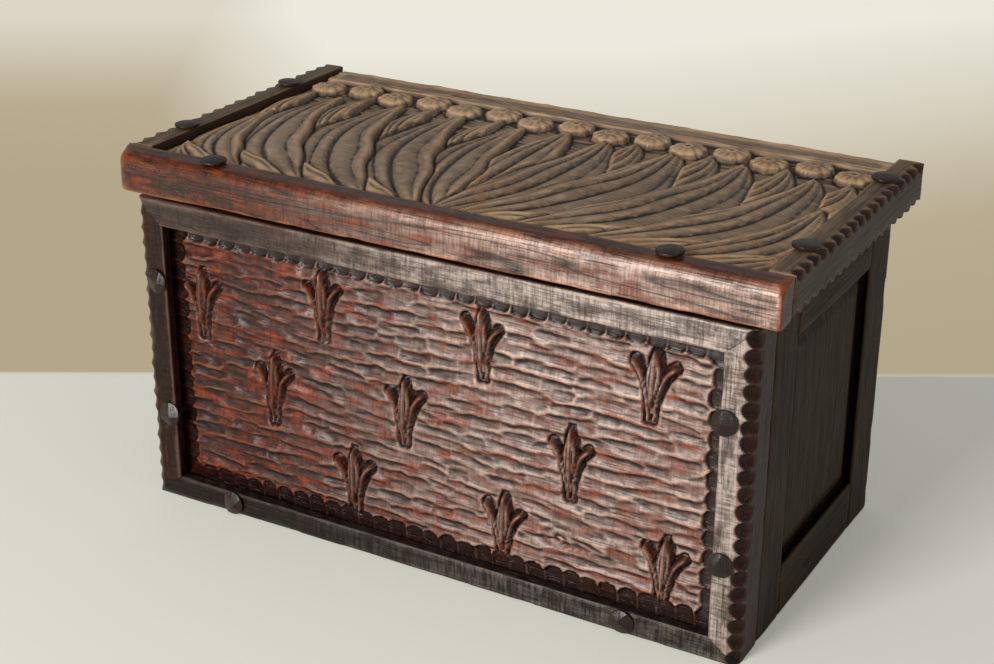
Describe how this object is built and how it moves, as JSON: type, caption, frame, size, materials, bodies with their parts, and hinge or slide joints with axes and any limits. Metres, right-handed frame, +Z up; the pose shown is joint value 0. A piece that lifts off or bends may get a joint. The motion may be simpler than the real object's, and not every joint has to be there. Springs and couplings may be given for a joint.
{
  "type": "coffer chest",
  "caption": "Small carved wooden coffer with a framed and pegged front, scalloped edges and a hinged lid with a recessed leaf-carved panel.",
  "frame": {"origin": "on the table under the middle of the whole chest, at the bottom centre of its bounding box", "axes": "+Z up, +X along the front to the right as seen from the front, +Y from the carved front to the back"},
  "size_m": [0.343, 0.1784, 0.1861],
  "materials": {
    "front_frame_wood": "dark stained oak, worn and waxed, toothed by a rasp across its face, glossy red-brown in the scallops",
    "front_panel_wood": "red-brown stained oak with gouged ground, satin, dark dirt in the hollows",
    "side_wood": "almost black-brown oak, dull with faint grain",
    "lid_nosing_wood": "reddish mahogany-like stain worn to orange on the arris, satin wax",
    "lid_panel_wood": "grey-brown carved oak, matt, tan where worn, nearly black in the cuts",
    "inside_wood": "plain sawn oak, unpolished",
    "peg_wood": "dark polished wooden pegs with whittled facets",
    "hinge_iron": "black iron, slightly rusted"
  },
  "bodies": {
    "chest": {"front_panel": "front_panel_wood", "front_top_rail": "front_frame_wood", "front_bottom_rail": "front_frame_wood", "front_left_stile": "front_frame_wood", "front_right_stile": "front_frame_wood", "front_peg_left_upper": "peg_wood", "front_peg_left_lower": "peg_wood", "front_peg_right_upper": "peg_wood", "front_peg_right_lower": "peg_wood", "bottom_peg_left": "peg_wood", "bottom_peg_right": "peg_wood", "left_side_front_stile": "side_wood", "left_side_back_stile": "side_wood", "left_side_top_rail": "side_wood", "left_side_bottom_rail": "side_wood", "left_side_panel": "side_wood", "right_side_front_stile": "side_wood", "right_side_back_stile": "side_wood", "right_side_top_rail": "side_wood", "right_side_bottom_rail": "side_wood", "right_side_panel": "side_wood", "back_board": "inside_wood", "bottom_board": "inside_wood", "back_peg_left_upper": "peg_wood", "back_peg_left_lower": "peg_wood", "back_peg_right_upper": "peg_wood", "back_peg_right_lower": "peg_wood", "hinge_left_body_leaf": "hinge_iron", "hinge_right_body_leaf": "hinge_iron", "hinge_pin_left": "hinge_iron", "hinge_pin_right": "hinge_iron", "hinge_screw_left_body_inner": "hinge_iron", "hinge_screw_left_body_outer": "hinge_iron", "hinge_screw_right_body_inner": "hinge_iron", "hinge_screw_right_body_outer": "hinge_iron"},
    "lid": {"lid_panel": "lid_panel_wood", "lid_front_nosing": "lid_nosing_wood", "lid_left_batten": "front_frame_wood", "lid_right_batten": "front_frame_wood", "lid_peg_left_front": "peg_wood", "lid_peg_left_back": "peg_wood", "lid_peg_right_front": "peg_wood", "lid_peg_right_back": "peg_wood", "lid_peg_nosing_left": "peg_wood", "lid_peg_nosing_right": "peg_wood", "hinge_left_lid_leaf": "hinge_iron", "hinge_right_lid_leaf": "hinge_iron", "hinge_screw_left_lid_inner": "hinge_iron", "hinge_screw_left_lid_outer": "hinge_iron", "hinge_screw_right_lid_inner": "hinge_iron", "hinge_screw_right_lid_outer": "hinge_iron"}
  },
  "joints": [
    {"name": "lid_hinge", "type": "hinge", "parent": "chest", "child": "lid", "pos_m": [0, 0.0821, 0.1616], "axis": [-1, 0, 0], "range_deg": [0, 112]}
  ]
}
